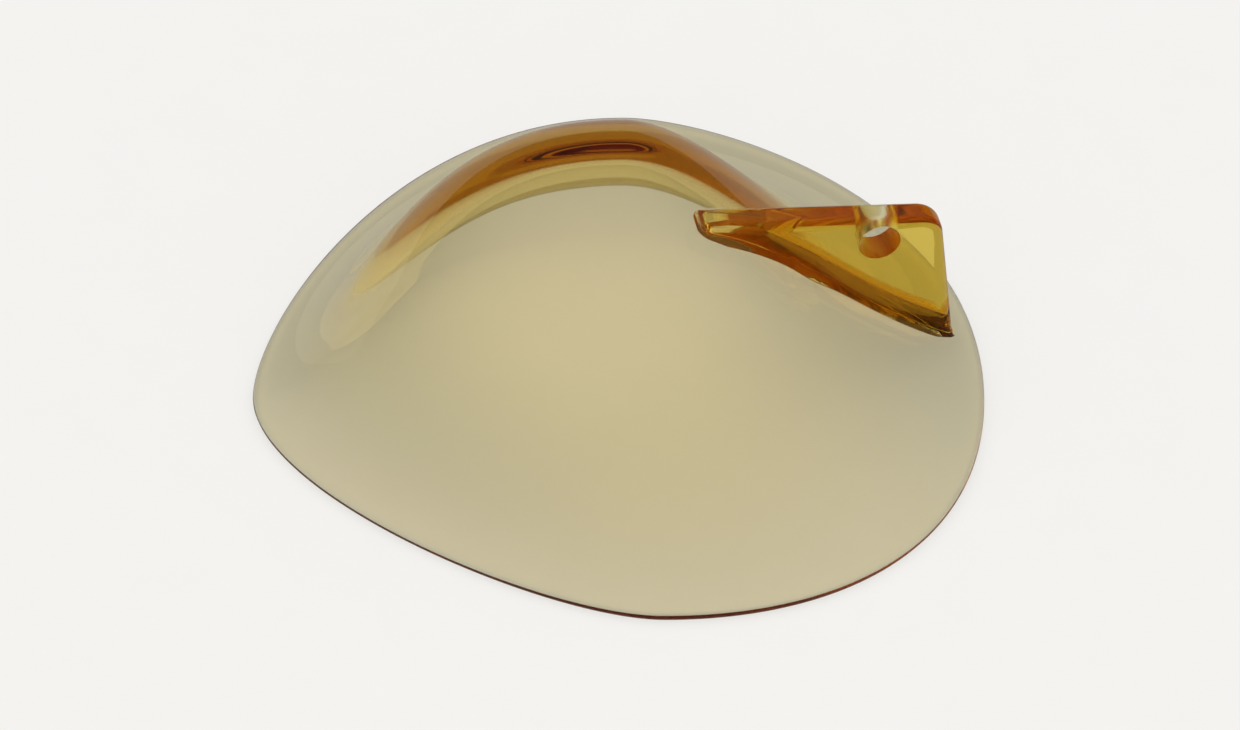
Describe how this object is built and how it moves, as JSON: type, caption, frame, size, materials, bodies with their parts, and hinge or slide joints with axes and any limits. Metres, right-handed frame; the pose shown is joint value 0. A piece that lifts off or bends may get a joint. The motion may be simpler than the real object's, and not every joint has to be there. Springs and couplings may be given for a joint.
{
  "type": "surgical eye shield",
  "caption": "Clear amber moulded cup that covers the cornea during surgery, with a flared round rim and a flat upright handle plate with a thread hole.",
  "frame": {"origin": "on the plane that the rim rests on, straight below the flat of the crown", "axes": "+Z out of the eye, from the rim's plane to the crown; +X along the shell's length, from its narrow end to the broad end that carries the handle; +Y across, towards the wider flange"},
  "size_m": [0.0259, 0.0248, 0.0082],
  "materials": {
    "amber_shell": "polished transparent amber acrylic, injection moulded",
    "amber_handle": "transparent amber acrylic sheet, edges flame polished",
    "clear_cement": "clear solvent cement, tinted by the amber plastic it has melted"
  },
  "bodies": {
    "root": {"shell": "amber_shell", "handle": "amber_handle", "cement_bead": "clear_cement"}
  },
  "joints": []
}
